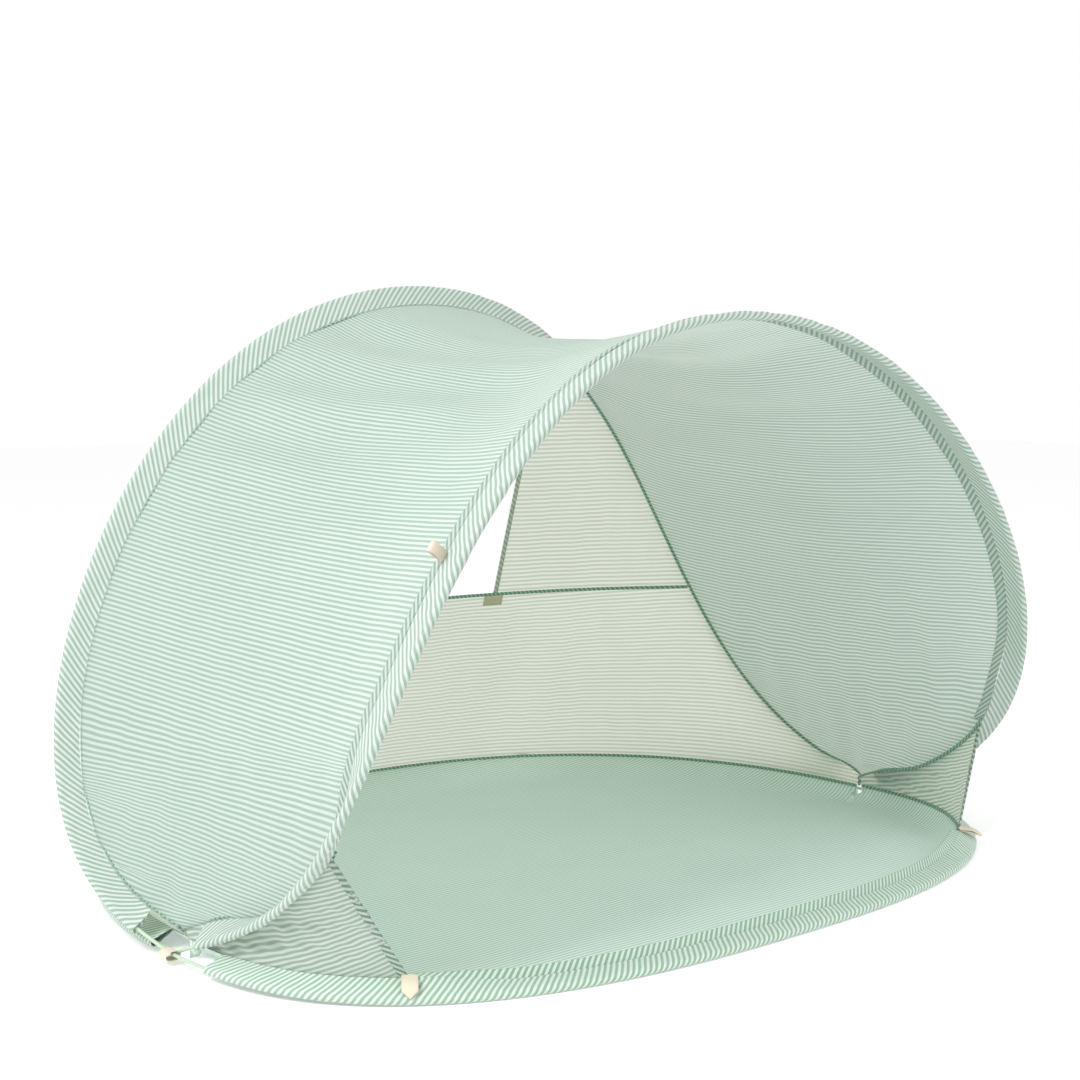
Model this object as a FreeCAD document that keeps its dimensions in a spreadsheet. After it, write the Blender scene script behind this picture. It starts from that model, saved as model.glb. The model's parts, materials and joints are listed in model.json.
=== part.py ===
import FreeCAD, Part
import math
import os
from FreeCAD import Vector

# Pop up beach tent: two closed spring hoops cross at two ground pivots. Each hoop is half arch, half floor rim.
# Frame: +Z up, -Y towards the open front, origin on the ground midway between the two pivots, millimetres.

DRIVING = (
    ("half_span", 650.0),
    ("pivot_height", 13.0),
    ("crossing_offset", 2.6),
    ("rod_radius", 2.25),
    ("rod_end_gap", 3.5),
    ("front_arch_height", 776.0),
    ("front_arch_lean", 334.0),
    ("front_arch_shoulder", 529.0),
    ("back_arch_height", 832.0),
    ("back_arch_lean", 359.0),
    ("back_arch_shoulder", 558.0),
    ("floor_rod_height", 5.2),
    ("rim_height", 25.0),
    ("rim_low_height", 11.0),
    ("rim_drop_run", 150.0),
    ("floor_front_depth", 412.0),
    ("floor_back_depth", 635.0),
    ("floor_front_power", 2.6),
    ("floor_back_power", 2.25),
    ("sleeve_width", 28.0),
    ("sleeve_inside", 4.2),
    ("sleeve_wall", 0.8),
    ("seam_gap", 1.2),
    ("seam_offset", 1.5),
    ("foot_rise", 0.8),
    ("leg_rise", 0.35),
    ("leg_start", 170.0),
    ("leg_turn", 110.0),
    ("front_foot_near", 280.0),
    ("front_foot_far", 500.0),
    ("back_foot_near", 20.0),
    ("back_foot_far", 150.0),
    ("facing_width", 15.0),
    ("facing_start", 320.0),
    ("facing_thickness", 1.6),
    ("fabric_thickness", 0.8),
    ("edge_clearance", 0.5),
    ("canopy_sag", 45.0),
    ("canopy_first_share", 0.012),
    ("canopy_edge_gap", 6.0),
    ("canopy_step_start", 180.0),
    ("canopy_step_run", 60.0),
    ("wall_top_gap", 5.0),
    ("wall_foot_gap", 4.0),
    ("gusset_top_gap", 7.0),
    ("wall_seam_height", 328.0),
    ("wall_seam_width", 7.0),
    ("window_width", 500.0),
    ("window_height", 260.0),
    ("hem_width", 8.0),
    ("hem_thickness", 2.0),
    ("gusset_reach_arch", 316.0),
    ("gusset_reach_floor", 345.0),
    ("rim_facing_width", 13.0),
    ("rim_facing_lean", 55.0),
    ("tape_width", 5.5),
    ("tape_thickness", 1.6),
    ("tape_inset", 7.0),
    ("corner_tape_reach", 622.0),
    ("corner_tape_foot", 22.0),
    ("corner_tape_rise", 20.0),
    ("corner_gap", 5.0),
    ("wall_corner_gap", 20.0),
    ("front_sleeve_start", 46.0),
    ("back_sleeve_start", 62.0),
    ("floor_front_sleeve_start", 80.0),
    ("floor_back_sleeve_start", 50.0),
    ("back_tape_start", 240.0),
    ("front_tape_start", 170.0),
    ("floor_tape_start", 40.0),
    ("ferrule_run", 100.0),
    ("ferrule_length", 40.0),
    ("ferrule_wall", 0.8),
    ("ferrule_clearance", 0.08),
    ("ribbon_width", 20.0),
    ("ribbon_thickness", 1.0),
    ("tie_length", 30.0),
    ("tie_rise", 18.0),
    ("peg_loop_length", 36.0),
    ("peg_loop_rise", 8.0),
    ("peg_loop_gap", 8.0),
    ("back_peg_loop_share", 0.32),
    ("hang_loop_length", 24.0),
    ("hang_loop_width", 14.0),
    ("hang_loop_mark", 695.0),
    ("sheet_thickness", 1.0),
    ("sheet_rear_lap", 20.0),
)

doc = FreeCAD.newDocument("pop_up_tent")
sheet = doc.addObject("Spreadsheet::Sheet", "Sizes")
for row, (alias, value) in enumerate(DRIVING, 1):
    sheet.set(f"A{row}", alias)
    sheet.set(f"B{row}", str(value))
    sheet.setAlias(f"B{row}", alias)
doc.recompute()


def size(alias):
    return float(getattr(sheet, alias))


SPAN = size("half_span")
PIVOT_Z = size("pivot_height")
SEAM = size("sleeve_width")
FACING_END = size("facing_width") + 3 * size("edge_clearance")
SAMPLES = 400
UP = Vector(0, 0, 1)


class Rail:
    """A curve from the left pivot to the right one, read by the distance along it."""

    def __init__(self, points):
        self.points = points
        self.marks = [0.0]
        for before, after in zip(points, points[1:]):
            self.marks.append(self.marks[-1] + (after - before).Length)
        self.length = self.marks[-1]

    def at(self, distance):
        distance = min(max(distance, 0.0), self.length)
        low, high = 0, len(self.marks) - 1
        while high - low > 1:
            middle = (low + high) // 2
            if self.marks[middle] <= distance:
                low = middle
            else:
                high = middle
        share = (distance - self.marks[low]) / (self.marks[high] - self.marks[low])
        return self.points[low] + (self.points[high] - self.points[low]) * share

    def along(self, distance):
        step = 2.0
        return (self.at(distance + step) - self.at(distance - step)).normalize()


def bezier(poles, share):
    while len(poles) > 1:
        poles = [a + (b - a) * share for a, b in zip(poles, poles[1:])]
    return poles[0]


def mirrored(left_half):
    right_half = [Vector(-p.x, p.y, p.z) for p in reversed(left_half[:-1])]
    return Rail(left_half + right_half)


def arch_rail(start_x, poles):
    """An arch: a curve bent by its foot, knee and shoulder poles, mirrored at the crown."""
    poles = [Vector(-start_x, 0, PIVOT_Z)] + poles
    return mirrored([bezier(poles, i / SAMPLES) for i in range(SAMPLES + 1)])


def floor_rail(start_x, depth, power, side):
    """Half of the rounded floor outline, rising a little to the pivots at its two ends."""
    points = []
    for i in range(SAMPLES + 1):
        turn = math.pi / 2 * i / SAMPLES
        across = math.cos(turn) ** (2 / power)
        rise = (PIVOT_Z - size("floor_rod_height")) * across**8
        points.append(
            Vector(
                -start_x * across,
                side * depth * math.sin(turn) ** (2 / power),
                size("floor_rod_height") + rise,
            )
        )
    return mirrored(points)


INNER_X = SPAN - size("crossing_offset")
OUTER_X = SPAN + size("crossing_offset")

front_lean = -size("front_arch_lean")
front_arch = arch_rail(
    INNER_X,
    [
        Vector(-0.907 * SPAN, -0.377 * SPAN, 0.175 * SPAN),
        Vector(-1.076 * SPAN, -0.71 * SPAN, 0.216 * SPAN),
        Vector(-size("front_arch_shoulder"), front_lean, size("front_arch_height")),
        Vector(0, front_lean, size("front_arch_height")),
    ],
)
back_lean = size("back_arch_lean")
back_arch = arch_rail(
    OUTER_X,
    [
        Vector(-1.1 * SPAN, 0.26 * SPAN, 0.11 * SPAN),
        Vector(-0.997 * SPAN, 0.853 * SPAN, 0.2 * SPAN),
        Vector(-size("back_arch_shoulder"), back_lean, size("back_arch_height")),
        Vector(0, back_lean, size("back_arch_height")),
    ],
)
floor_front = floor_rail(OUTER_X, size("floor_front_depth"), size("floor_front_power"), -1)
floor_back = floor_rail(INNER_X, size("floor_back_depth"), size("floor_back_power"), 1)


def smooth(share):
    share = min(max(share, 0.0), 1.0)
    return share * share * (3 - 2 * share)


def squared(rail, distance, direction):
    """The part of a direction square to the rail, made one long."""
    tangent = rail.along(distance)
    return (direction - tangent * direction.dot(tangent)).normalize()


def partner(rail, other, distance):
    """The point of the other rail at the same share of its length."""
    return other.at(distance * other.length / rail.length)


def floor_inward(rail, distance):
    """The level unit direction from a floor rod towards the middle of the floor."""
    inward = squared(rail, distance, rail.at(distance) * -1)
    return Vector(inward.x, inward.y, 0).normalize()


def rim_height(rail, distance):
    """The floor seam stands up where a wall or a gusset pulls on it and sinks along the open front."""
    tall, low = size("rim_height"), size("rim_low_height")
    if rail is floor_back:
        return tall
    from_pivot = min(distance, rail.length - distance)
    return tall + (low - tall) * smooth((from_pivot - size("gusset_reach_floor")) / size("rim_drop_run"))


def floor_side(rail, distance):
    """From a floor rod inwards and up to its sleeve's seam."""
    rise = (rim_height(rail, distance) - rail.at(distance).z) / SEAM
    return floor_inward(rail, distance) * math.sqrt(1 - rise**2) + UP * rise


def floor_seam(rail, distance):
    return rail.at(distance) + floor_side(rail, distance) * SEAM


def foot_way(rail, distance):
    """Inwards and up: the way an arch's sleeve turns beside its pivot, more level along the leg."""
    from_pivot = min(distance, rail.length - distance)
    near_pivot = smooth((size("leg_start") - from_pivot) / size("leg_turn"))
    rise = size("leg_rise") + (size("foot_rise") - size("leg_rise")) * near_pivot
    side = 1 if distance < rail.length / 2 else -1
    return squared(rail, distance, Vector(side * math.sqrt(1 - rise**2), 0, rise))


def turned_to_foot(rail, distance, free_way, near, far):
    """A sleeve's own direction, turned inwards between the far and the near distance from its pivot."""
    from_pivot = min(distance, rail.length - distance)
    share = smooth((far - from_pivot) / (far - near))
    return squared(rail, distance, free_way * (1 - share) + foot_way(rail, distance) * share)


def front_side(distance):
    """From the front arch's rod to its sleeve's seam: along the roof, and inwards over the gussets."""
    roof = squared(front_arch, distance, partner(front_arch, back_arch, distance) - front_arch.at(distance))
    return turned_to_foot(front_arch, distance, roof, size("front_foot_near"), size("front_foot_far"))


def back_side(distance):
    """From the back arch's rod to its sleeve's seam: midway between the roof and the back wall."""
    point = back_arch.at(distance)
    roof = squared(back_arch, distance, partner(back_arch, front_arch, distance) - point)
    foot = floor_seam(floor_back, distance * floor_back.length / back_arch.length)
    wall = squared(back_arch, distance, foot - point)
    between = (roof + wall).normalize()
    return turned_to_foot(back_arch, distance, between, size("back_foot_near"), size("back_foot_far"))


def arch_side(rail, distance):
    return front_side(distance) if rail is front_arch else back_side(distance)


def arch_seam(rail, distance, past=0.0):
    """The point where the fabrics meet just inside an arch sleeve's seam."""
    return rail.at(distance) + arch_side(rail, distance) * (SEAM + size("seam_offset") + past)


def feature(name, shape):
    """A named sub-part whose shape is made in code from the sheet's sizes."""
    made = doc.addObject("Part::Feature", name)
    made.Label = name
    made.Shape = shape
    made.Placement = FreeCAD.Placement()
    return made


def loft(wires):
    return Part.makeLoft(wires, True, False)


def spread(first, last, count):
    return [first + (last - first) * i / (count - 1) for i in range(count)]


def spread_to_ends(first, last, count):
    """Values from first to last, closer together towards both ends."""
    shares = [i / (count - 1) for i in range(count)]
    shares = [share - 0.7 * math.sin(2 * math.pi * share) / (2 * math.pi) for share in shares]
    return [first + (last - first) * share for share in shares]


def from_right(rail, marks):
    """The marks mirrored about the rail's middle, in rising order."""
    return [rail.length - mark for mark in reversed(marks)]


# ---- rods -------------------------------------------------------------------------------------


def rounded_path(corners):
    """Straight runs joined by tangent arcs."""
    edges = []
    here = corners[0]
    for before, corner, after in zip(corners, corners[1:], corners[2:]):
        come = (corner - before).normalize()
        leave = (after - corner).normalize()
        cut = 0.45 * min((corner - before).Length, (after - corner).Length)
        start = corner - come * cut
        end = corner + leave * cut
        half_turn = come.getAngle(leave) / 2
        radius = cut / math.tan(half_turn)
        bisector = (leave - come).normalize()
        middle = corner + bisector * (radius / math.cos(half_turn) - radius)
        edges.append(Part.makeLine(here, start))
        edges.append(Part.Arc(start, middle, end).toShape())
        here = end
    edges.append(Part.makeLine(here, corners[-1]))
    return Part.Wire(edges)


def rod(name, rail, middle_run=0.0, bends=14):
    """A round rod swept along a rail, straight for a middle run where its ferrule is crimped."""
    left_marks = spread(size("rod_end_gap"), (rail.length - middle_run) / 2, bends)
    right_marks = from_right(rail, left_marks)
    marks = left_marks + (right_marks if middle_run else right_marks[1:])
    spine = doc.addObject("Part::Feature", name + "_path")
    spine.Shape = rounded_path([rail.at(mark) for mark in marks])
    section = doc.addObject("Part::Circle", name + "_section")
    section.setExpression("Radius", "Sizes.rod_radius")
    start, second = rail.at(marks[0]), rail.at(marks[1])
    section.Placement = FreeCAD.Placement(start, FreeCAD.Rotation(UP, second - start))
    sweep = doc.addObject("Part::Sweep", name)
    sweep.Label = name
    sweep.Sections = [section]
    sweep.Spine = (spine, ["Edge%d" % (i + 1) for i in range(len(spine.Shape.Edges))])
    sweep.Solid = True
    return sweep


def ferrule(name, rail):
    """A crimped tube around the middle of a floor rod, where its hoop is closed."""
    outside = doc.addObject("Part::Cylinder", name + "_outside")
    inside = doc.addObject("Part::Cylinder", name + "_inside")
    bore = "Sizes.rod_radius + Sizes.ferrule_clearance"
    outside.setExpression("Radius", bore + " + Sizes.ferrule_wall")
    inside.setExpression("Radius", bore)
    middle = rail.at((rail.length - size("ferrule_run")) / 2)
    for cylinder in (outside, inside):
        cylinder.setExpression("Height", "Sizes.ferrule_length")
        corner = Vector(-size("ferrule_length") / 2, middle.y, middle.z)
        cylinder.Placement = FreeCAD.Placement(corner, FreeCAD.Rotation(UP, Vector(1, 0, 0)))
    tube = doc.addObject("Part::Cut", name)
    tube.Label = name
    tube.Base = outside
    tube.Tool = inside
    return tube


# ---- sleeves and strips -----------------------------------------------------------------------


def sleeve_section(centre, seam_way, thick_way):
    """A bias strip folded round the rod, its two edges meeting at the seam with a slot between."""
    inner = size("sleeve_inside")
    outer = inner + size("sleeve_wall")
    slot = size("seam_gap") / 2
    lip = slot + size("sleeve_wall")

    def spot(out, up):
        return centre + seam_way * out + thick_way * up

    def tangent_spot(radius, gap):
        lean = math.acos(radius / math.hypot(SEAM, gap)) + math.atan2(gap, SEAM)
        return radius * math.cos(lean), radius * math.sin(lean)

    out_x, out_y = tangent_spot(outer, lip)
    in_x, in_y = tangent_spot(inner, slot)
    return Part.Wire(
        [
            Part.makeLine(spot(SEAM, lip), spot(out_x, out_y)),
            Part.Arc(spot(out_x, out_y), spot(-outer, 0), spot(out_x, -out_y)).toShape(),
            Part.makeLine(spot(out_x, -out_y), spot(SEAM, -lip)),
            Part.makeLine(spot(SEAM, -lip), spot(SEAM, -slot)),
            Part.makeLine(spot(SEAM, -slot), spot(in_x, -in_y)),
            Part.Arc(spot(in_x, -in_y), spot(-inner, 0), spot(in_x, in_y)).toShape(),
            Part.makeLine(spot(in_x, in_y), spot(SEAM, slot)),
            Part.makeLine(spot(SEAM, slot), spot(SEAM, lip)),
        ]
    )


def sleeve(name, rail, bare_length, seam_way, stations=33):
    """A sleeve along a rail, cut short of both pivots; seam_way gives its seam's direction."""
    wires = []
    for mark in spread_to_ends(bare_length, rail.length - bare_length, stations):
        toward = seam_way(mark)
        wires.append(sleeve_section(rail.at(mark), toward, rail.along(mark).cross(toward).normalize()))
    return feature(name, loft(wires))


def band_section(first, last, thick_way, thickness, sag=0.0):
    """The outline of a fabric strip from edge to edge, straight or sagging."""
    half = thick_way * (thickness / 2)
    middle = (first + last) / 2 - thick_way * sag

    def edge(start, end, shift):
        if sag:
            return Part.Arc(start + shift, middle + shift, end + shift).toShape()
        return Part.makeLine(start + shift, end + shift)

    return Part.Wire(
        [
            edge(first, last, half),
            Part.makeLine(last + half, last - half),
            edge(last, first, half * -1),
            Part.makeLine(first - half, first + half),
        ]
    )


def outward(first, last, along):
    """The normal of a fabric strip, pointing away from the inside of the tent."""
    normal = (last - first).cross(along)
    normal.normalize()
    outside = (first + last) / 2 - Vector(0, 0, 0.3 * SPAN)
    return normal if normal.dot(outside) > 0 else normal * -1


def strip(name, stations, thickness):
    """A fabric strip lofted through stations of (first edge, last edge, rail direction, sag)."""
    wires = [
        band_section(first, last, outward(first, last, along), thickness, sag)
        for first, last, along, sag in stations
    ]
    return feature(name, loft(wires))


def roof_edge(rail, share, inset):
    """A point of the roof, inset from an arch's seam towards the other arch's seam."""
    other = back_arch if rail is front_arch else front_arch
    seam = arch_seam(rail, share * rail.length)
    return seam + (arch_seam(other, share * other.length) - seam).normalize() * inset


def facing(name, rail, start):
    """The narrow band sewn along an arch sleeve's seam at the edge of the canopy."""
    near = size("edge_clearance")
    far = near + size("facing_width")
    stations = []
    for mark in spread(start, rail.length - start, 27):
        share = mark / rail.length
        stations.append((roof_edge(rail, share, near), roof_edge(rail, share, far), rail.along(mark), 0))
    return strip(name, stations, size("facing_thickness"))


def canopy():
    """The roof and side walls in one saddle between the two arches."""
    first_share = size("canopy_first_share")
    clear = size("canopy_edge_gap")
    stations = []
    for share in spread_to_ends(first_share, 1 - first_share, 33):
        sag = 1.0 + size("canopy_sag") * math.sin(math.pi * share) ** 2
        along = front_arch.along(share * front_arch.length) + back_arch.along(share * back_arch.length)
        from_pivot = min(share, 1 - share) * front_arch.length
        beside_facing = smooth((from_pivot - size("canopy_step_start")) / size("canopy_step_run"))
        front = roof_edge(front_arch, share, clear + beside_facing * (FACING_END - clear))
        back = roof_edge(back_arch, share, clear)
        stations.append((front, back, along.normalize(), sag))
    return strip("canopy", stations, size("fabric_thickness"))


def wall_solid(thickness):
    """The whole back wall, from the back arch's seam down to the floor's back rim."""
    first_share = size("wall_corner_gap") / floor_back.length
    stations = []
    for share in spread_to_ends(first_share, 1 - first_share, 25):
        mark = share * back_arch.length
        floor_mark = share * floor_back.length
        seam = arch_seam(back_arch, mark)
        foot = floor_seam(floor_back, floor_mark)
        down = (foot - seam).normalize()
        along = (back_arch.along(mark) + floor_back.along(floor_mark)).normalize()
        top, bottom = seam + down * size("wall_top_gap"), foot - down * size("wall_foot_gap")
        stations.append(band_section(bottom, top, outward(bottom, top, along), thickness))
    return loft(stations)


def box(x_low, x_high, z_low, z_high):
    """A block through the whole depth of the back wall."""
    return Part.makeBox(x_high - x_low, 2 * SPAN, z_high - z_low, Vector(x_low, 0, z_low))


def back_wall():
    """The back wall's panels and trim: a lower panel, and an upper one around a window."""
    cloth = wall_solid(size("fabric_thickness"))
    trim = wall_solid(size("hem_thickness"))
    far = 2 * SPAN
    seam = size("wall_seam_height")
    half_seam = size("wall_seam_width") / 2
    half_window = size("window_width") / 2
    hem = size("hem_width")
    gap = size("edge_clearance")
    low = seam + half_seam + gap
    top = low + size("window_height")
    feature("back_wall_lower", cloth.common(box(-far, far, -far, seam - half_seam - gap)))
    feature("back_wall_seam", trim.common(box(-far, far, seam - half_seam, seam + half_seam)))
    outer_hem = half_window + hem
    feature("back_wall_left", cloth.common(box(-far, -outer_hem - gap, low, far)))
    feature("back_wall_right", cloth.common(box(outer_hem + gap, far, low, far)))
    feature("back_wall_top", cloth.common(box(-outer_hem, outer_hem, top + hem + gap, far)))
    frame = box(-outer_hem, outer_hem, low, top + hem).cut(box(-half_window, half_window, -far, top))
    feature("window_hem", trim.common(frame))


# ---- gussets ----------------------------------------------------------------------------------


def gusset_station(share, right):
    """The gusset's lower and upper edge points at a share of its reach from the pivot."""
    arch_mark = share * size("gusset_reach_arch")
    floor_mark = share * size("gusset_reach_floor")
    if right:
        arch_mark = front_arch.length - arch_mark
        floor_mark = floor_front.length - floor_mark
    seam = arch_seam(front_arch, arch_mark)
    foot = floor_seam(floor_front, floor_mark)
    down = (foot - seam).normalize()
    along = (front_arch.along(arch_mark) + floor_front.along(floor_mark)).normalize()
    return foot - down * size("wall_foot_gap"), seam + down * size("gusset_top_gap"), along, 0


def gusset(side, right):
    """A small triangle of fabric tying the front arch's foot to the floor's front rim, and its hem."""
    first_share = size("corner_gap") / size("gusset_reach_floor")
    cloth = [gusset_station(share, right) for share in spread(first_share, 0.96, 13)]
    strip("gusset_" + side, cloth, size("fabric_thickness"))
    hem = [gusset_station(share, right) for share in (0.965, 0.98, 1.0)]
    strip("gusset_hem_" + side, hem, size("hem_thickness"))


# ---- seam tapes -------------------------------------------------------------------------------


def tape(name, spots):
    """A narrow tape lofted through (middle, width direction, normal) spots."""
    half = size("tape_width") / 2
    wires = []
    for middle, wide_way, normal in spots:
        reach = wide_way * half
        wires.append(band_section(middle - reach, middle + reach, normal, size("tape_thickness")))
    return feature(name, loft(wires))


def arch_tape(name, rail, marks):
    """The tape over an arch's seam, on the inside of the tent."""
    spots = []
    for mark in marks:
        normal = arch_side(rail, mark)
        middle = arch_seam(rail, mark, size("tape_inset"))
        spots.append((middle, rail.along(mark).cross(normal).normalize(), normal))
    return tape(name, spots)


def floor_tape(name, rail, marks):
    """The tape over the seam between a wall and the ground sheet."""
    spots = []
    for mark in marks:
        inward = floor_inward(rail, mark)
        middle = floor_seam(rail, mark) + inward * size("tape_inset")
        spots.append((middle, UP, inward))
    return tape(name, spots)


def corner_tape(name, side):
    """The short upright tape where the back wall and a gusset meet beside a pivot."""
    foot = Vector(side * size("corner_tape_reach"), 0, size("corner_tape_foot"))
    top = foot + UP * size("corner_tape_rise")
    spots = [(spot, Vector(0, 1, 0), Vector(1, 0, 0)) for spot in (foot, top)]
    return tape(name, spots)


# ---- ground sheet -----------------------------------------------------------------------------


def inset_outline(rail, inset, first, last, count=41):
    """A level line along a floor rail, moved inwards from it."""
    points = []
    for mark in spread(first, last, count):
        point = rail.at(mark) + floor_inward(rail, mark) * inset
        points.append(Vector(point.x, point.y, 0))
    return points


def sheet_face(rail, side, rear_y):
    """Half of the ground sheet, inside the floor sleeve's seam, closed by a straight rear edge."""
    inset = SEAM + size("edge_clearance")
    points = [p for p in inset_outline(rail, inset, 30, rail.length - 30) if p.y * side > 25]
    curve = Part.BSplineCurve()
    curve.interpolate(points)
    left = Vector(points[0].x, rear_y, 0)
    right = Vector(points[-1].x, rear_y, 0)
    edges = [
        curve.toShape(),
        Part.makeLine(points[-1], right),
        Part.makeLine(right, left),
        Part.makeLine(left, points[0]),
    ]
    return Part.Face(Part.Wire(edges))


def ground_half(name, rail, side, rear_y):
    outline = doc.addObject("Part::Feature", name + "_outline")
    outline.Shape = sheet_face(rail, side, rear_y)
    solid = doc.addObject("Part::Extrusion", name)
    solid.Label = name
    solid.Base = outline
    solid.DirMode = "Custom"
    solid.Dir = UP
    solid.Solid = True
    solid.setExpression("LengthFwd", "Sizes.sheet_thickness")
    return solid


def rim_facing(name, rail, start):
    """The band standing up from the front rim's seam, which the ground sheet is sewn to."""
    wires = []
    width = size("rim_facing_width")
    tall, low = size("rim_height"), size("rim_low_height")
    for mark in spread(start, rail.length - start, 27):
        inward = floor_inward(rail, mark)
        lean = math.radians(size("rim_facing_lean")) * (tall - rim_height(rail, mark)) / (tall - low)
        upward = inward * math.cos(lean) + UP * math.sin(lean)
        near = floor_seam(rail, mark) + inward * size("seam_offset") + upward * size("edge_clearance")
        normal = UP * math.cos(lean) - inward * math.sin(lean)
        wires.append(band_section(near, near + upward * width, normal, size("facing_thickness")))
    return feature(name, loft(wires))


# ---- ribbons ----------------------------------------------------------------------------------


def ribbon_ring(length, rise, width):
    """A flat ribbon loop lying along +X from the origin, its hollow running along Y."""
    thickness = size("ribbon_thickness")

    def racetrack(shrink):
        radius = rise / 2 - shrink
        left, right = rise / 2, length - rise / 2
        near = -width / 2
        top_left, top_right = Vector(left, near, radius), Vector(right, near, radius)
        low_left, low_right = Vector(left, near, -radius), Vector(right, near, -radius)
        edges = [
            Part.makeLine(top_left, top_right),
            Part.Arc(top_right, Vector(right + radius, near, 0), low_right).toShape(),
            Part.makeLine(low_right, low_left),
            Part.Arc(low_left, Vector(left - radius, near, 0), top_left).toShape(),
        ]
        return Part.Face(Part.Wire(edges)).extrude(Vector(0, width, 0))

    return racetrack(0).cut(racetrack(thickness))


def place_ring(name, ring, root, outward_way, side_way):
    """Puts a ribbon loop at its root: outward_way is its length, side_way its width."""
    normal = outward_way.cross(side_way).normalize()
    side = normal.cross(outward_way).normalize()
    turn = FreeCAD.Rotation(outward_way, side, normal, "XYZ")
    made = feature(name, ring)
    made.Placement = FreeCAD.Placement(root, turn)
    return made


def pivot_tie(name, side):
    """The short ribbon loop that holds the two crossing hoops together at a pivot."""
    length = size("tie_length")
    ring = ribbon_ring(length, size("tie_rise"), size("ribbon_width"))
    root = Vector(side * SPAN - length / 2, 0, PIVOT_Z)
    return place_ring(name, ring, root, Vector(1, 0, 0), Vector(0, 1, 0))


def peg_loop(name, rail, mark):
    """A ribbon loop for a ground peg, lying outside the floor's rim."""
    point = rail.at(mark)
    out = floor_inward(rail, mark) * -1
    side_way = UP.cross(out)
    rise = size("peg_loop_rise")
    root = Vector(point.x, point.y, rise / 2) + out * size("peg_loop_gap")
    ring = ribbon_ring(size("peg_loop_length"), rise, size("ribbon_width"))
    return place_ring(name, ring, root, out, side_way)


def hang_loop():
    """The little ribbon loop at the front arch's seam that holds the coiled tent closed."""
    mark = size("hang_loop_mark")
    seam_way = front_side(mark)
    along = front_arch.along(mark)
    normal = outward(front_arch.at(mark), front_arch.at(mark) + seam_way, along)
    root = front_arch.at(mark) + seam_way * SEAM + normal * 3
    ring = ribbon_ring(size("hang_loop_length"), size("peg_loop_rise"), size("hang_loop_width"))
    return place_ring("hang_loop", ring, root, normal, along)


# ---- assembly ---------------------------------------------------------------------------------

rod("front_arch_rod", front_arch, bends=18)
rod("back_arch_rod", back_arch, bends=18)
rod("floor_front_rod", floor_front, size("ferrule_run"))
rod("floor_back_rod", floor_back, size("ferrule_run"))
ferrule("front_hoop_ferrule", floor_front)
ferrule("back_hoop_ferrule", floor_back)

sleeve("front_arch_sleeve", front_arch, size("front_sleeve_start"), front_side)
sleeve("back_arch_sleeve", back_arch, size("back_sleeve_start"), back_side)
for name, rail in (("floor_front_sleeve", floor_front), ("floor_back_sleeve", floor_back)):
    sleeve(name, rail, size(name + "_start"), lambda mark: floor_side(rail, mark))

arch_reach = size("gusset_reach_arch")
floor_reach = size("gusset_reach_floor")
facing("front_arch_facing", front_arch, size("facing_start"))
rim_facing("floor_front_facing", floor_front, 1.02 * floor_reach)
canopy()
back_wall()
gusset("left", False)
gusset("right", True)

back_start, floor_start = size("back_tape_start"), size("floor_tape_start")
arch_tape("back_arch_seam", back_arch, spread_to_ends(back_start, back_arch.length - back_start, 45))
floor_tape("floor_back_seam", floor_back, spread(floor_start, floor_back.length - floor_start, 37))
arch_marks = spread(size("front_tape_start"), arch_reach, 9)
arch_tape("front_arch_seam_left", front_arch, arch_marks)
arch_tape("front_arch_seam_right", front_arch, from_right(front_arch, arch_marks))
rim_marks = spread(floor_start, floor_reach, 9)
floor_tape("floor_front_seam_left", floor_front, rim_marks)
floor_tape("floor_front_seam_right", floor_front, from_right(floor_front, rim_marks))
corner_tape("corner_seam_left", -1)
corner_tape("corner_seam_right", 1)

ground_half("ground_sheet_front", floor_front, -1, -size("sheet_rear_lap") - 1)
ground_half("ground_sheet_back", floor_back, 1, -size("sheet_rear_lap"))
pivot_tie("pivot_tie_left", -1)
pivot_tie("pivot_tie_right", 1)
back_loop = size("back_peg_loop_share") * floor_back.length
peg_loop("peg_loop_front_left", floor_front, floor_reach)
peg_loop("peg_loop_front_right", floor_front, floor_front.length - floor_reach)
peg_loop("peg_loop_back_left", floor_back, back_loop)
peg_loop("peg_loop_back_right", floor_back, floor_back.length - back_loop)
hang_loop()

NODES = (
    "front_arch_rod back_arch_rod floor_front_rod floor_back_rod front_hoop_ferrule back_hoop_ferrule "
    "front_arch_sleeve back_arch_sleeve floor_front_sleeve floor_back_sleeve front_arch_facing "
    "floor_front_facing canopy back_wall_lower back_wall_seam "
    "back_wall_left back_wall_right back_wall_top window_hem gusset_left gusset_right gusset_hem_left "
    "gusset_hem_right ground_sheet_front ground_sheet_back pivot_tie_left pivot_tie_right "
    "peg_loop_front_left peg_loop_front_right peg_loop_back_left peg_loop_back_right hang_loop "
    "back_arch_seam front_arch_seam_left front_arch_seam_right floor_back_seam floor_front_seam_left "
    "floor_front_seam_right corner_seam_left corner_seam_right"
).split()

doc.recompute()
for item in doc.Objects:
    if "Invalid" in item.State or "Error" in item.State:
        raise RuntimeError(item.Label + " is " + ", ".join(item.State))
nodes = [doc.getObjectsByLabel(name)[0] for name in NODES]
for node in nodes:
    if node.Shape.isNull() or not node.Shape.isValid():
        raise RuntimeError(node.Label + " has no valid shape")
    print(node.Label, len(node.Shape.Solids), len(node.Shape.Faces), round(node.Shape.Volume))
os.makedirs("parts", exist_ok=True)
for node in nodes:
    node.Shape.exportStep("parts/" + node.Label + ".step")
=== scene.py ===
import json
import math

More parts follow.
